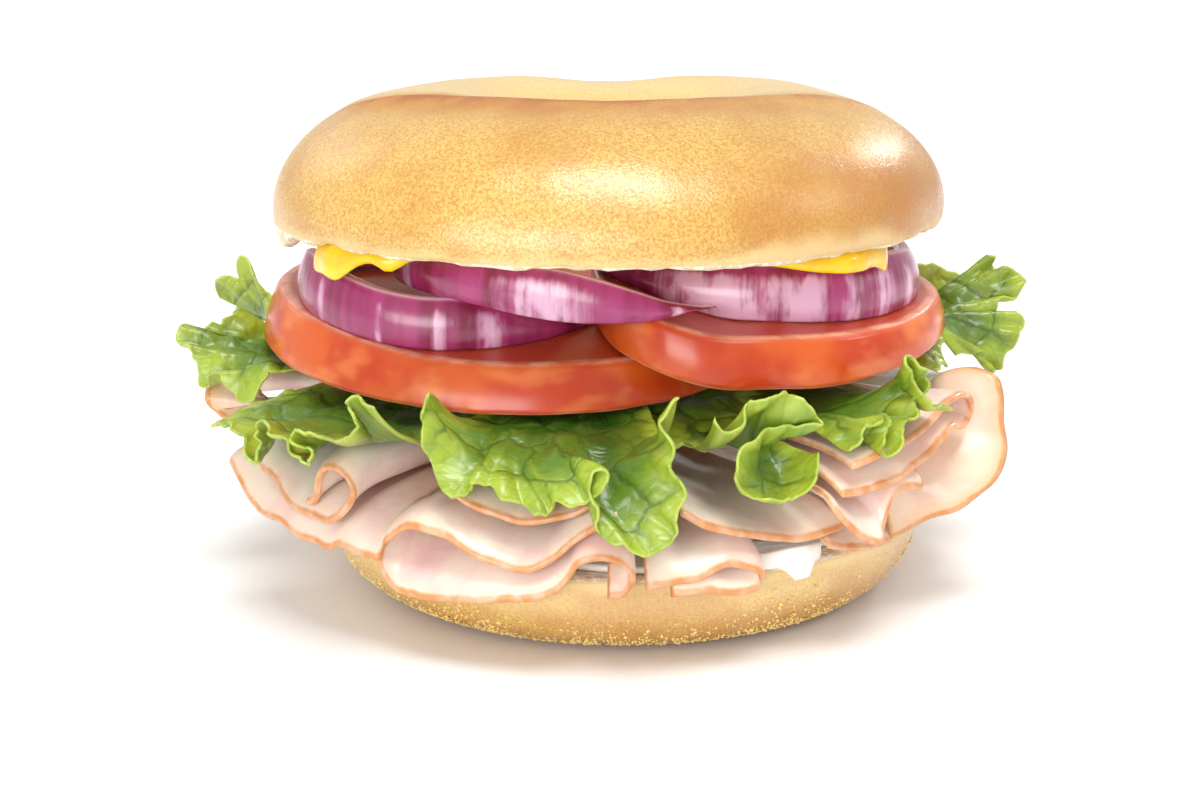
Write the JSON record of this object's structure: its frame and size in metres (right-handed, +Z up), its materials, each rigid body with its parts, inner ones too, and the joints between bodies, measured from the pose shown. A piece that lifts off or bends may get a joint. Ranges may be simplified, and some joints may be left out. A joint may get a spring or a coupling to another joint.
{
  "type": "ham sandwich in a plain bagel",
  "caption": "Bagel sandwich, open through its hole, filled with folded ham, leaf lettuce, tomato slices, red onion rings, mustard and mayonnaise.",
  "frame": {"origin": "centre of the whole sandwich's box, at its underside", "axes": "+Z up out of the bagel's hole, +X to the right and -Y towards the viewer as the picture shows it"},
  "size_m": [0.142, 0.127, 0.0797],
  "materials": {
    "crust": "golden baked crust, slightly glossy",
    "mayonnaise": "wet, off-white",
    "mustard": "wet, bright yellow",
    "tomato": "wet, orange-red skin",
    "red_onion": "wet, magenta-purple skin with pale streaks",
    "ham": "moist, pale pink with a browned rim",
    "lettuce": "fresh, yellow-green with a waxy shine"
  },
  "bodies": {
    "root": {"bagel_crown": "crust", "bagel_heel": "crust", "ham_back_1": "ham", "ham_back_2": "ham", "ham_back_3": "ham", "ham_back_4": "ham", "ham_back_5": "ham", "ham_back_6": "ham", "ham_front_fold": "ham", "ham_front_loop": "ham", "ham_front_top": "ham", "ham_left_inner": "ham", "ham_left_outer": "ham", "ham_left_roll": "ham", "ham_left_tip": "ham", "ham_right_base": "ham", "ham_right_fold": "ham", "ham_right_low": "ham", "ham_right_outer": "ham", "ham_right_tongue": "ham", "leaf_back_1": "lettuce", "leaf_back_2": "lettuce", "leaf_back_3": "lettuce", "leaf_back_4": "lettuce", "leaf_front_right": "lettuce", "leaf_inner": "lettuce", "leaf_left_back": "lettuce", "leaf_left_low": "lettuce", "leaf_left_top": "lettuce", "leaf_middle": "lettuce", "leaf_right": "lettuce", "leaf_right_back": "lettuce", "leaf_right_side": "lettuce", "mayonnaise": "mayonnaise", "mustard": "mustard", "onion_left": "red_onion", "onion_middle": "red_onion", "onion_right": "red_onion", "tomato_left": "tomato", "tomato_right": "tomato"}
  },
  "joints": []
}
